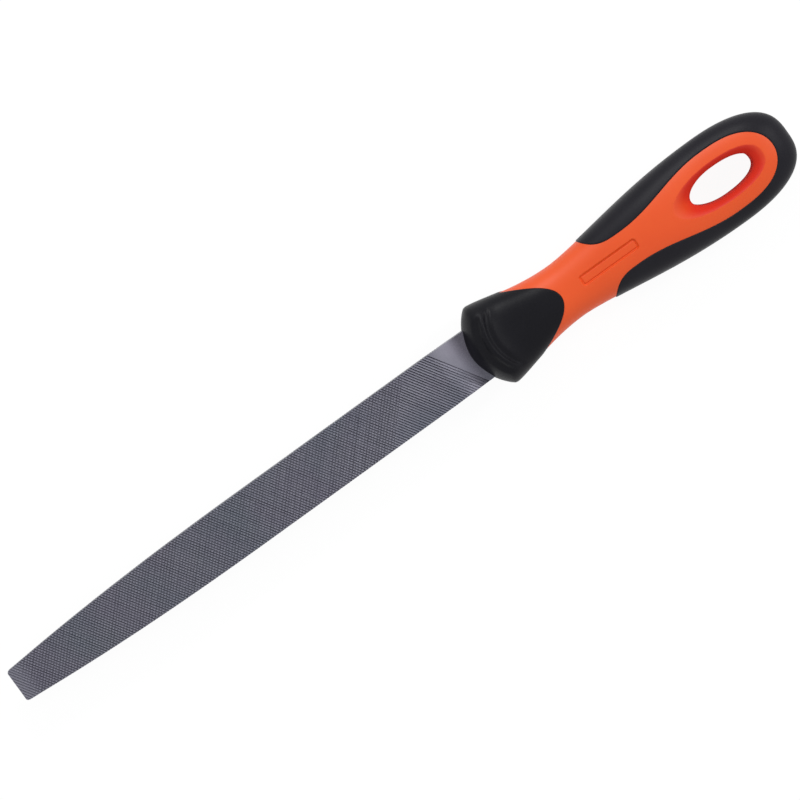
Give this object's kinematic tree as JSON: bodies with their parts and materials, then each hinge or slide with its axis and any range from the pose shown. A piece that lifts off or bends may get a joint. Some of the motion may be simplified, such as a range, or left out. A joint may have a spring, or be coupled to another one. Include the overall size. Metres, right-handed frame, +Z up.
{
  "type": "flat file",
  "caption": "Double-cut flat metalworking file with a tapered steel blade, a hidden tang and a two-component moulded handle with a hanging hole.",
  "frame": {"origin": "middle of the file's overall length, on its long axis, halfway through its width and thickness", "axes": "+X runs along the long axis from the blade's tip to the handle's end, +Y across the width, +Z up out of the flat face that carries the label recess"},
  "size_m": [0.3342, 0.0348, 0.024],
  "materials": {
    "blade_steel": "cut and hardened tool steel, dull grey over the teeth, smoother at the heel",
    "core_plastic": "orange moulded plastic, satin",
    "collar_rubber": "soft black moulded elastomer, matt",
    "grip_rubber": "soft black moulded elastomer, matt"
  },
  "bodies": {
    "root": {"file_blade": "blade_steel", "handle_core": "core_plastic", "front_collar": "collar_rubber", "rear_grip": "grip_rubber"}
  },
  "joints": []
}
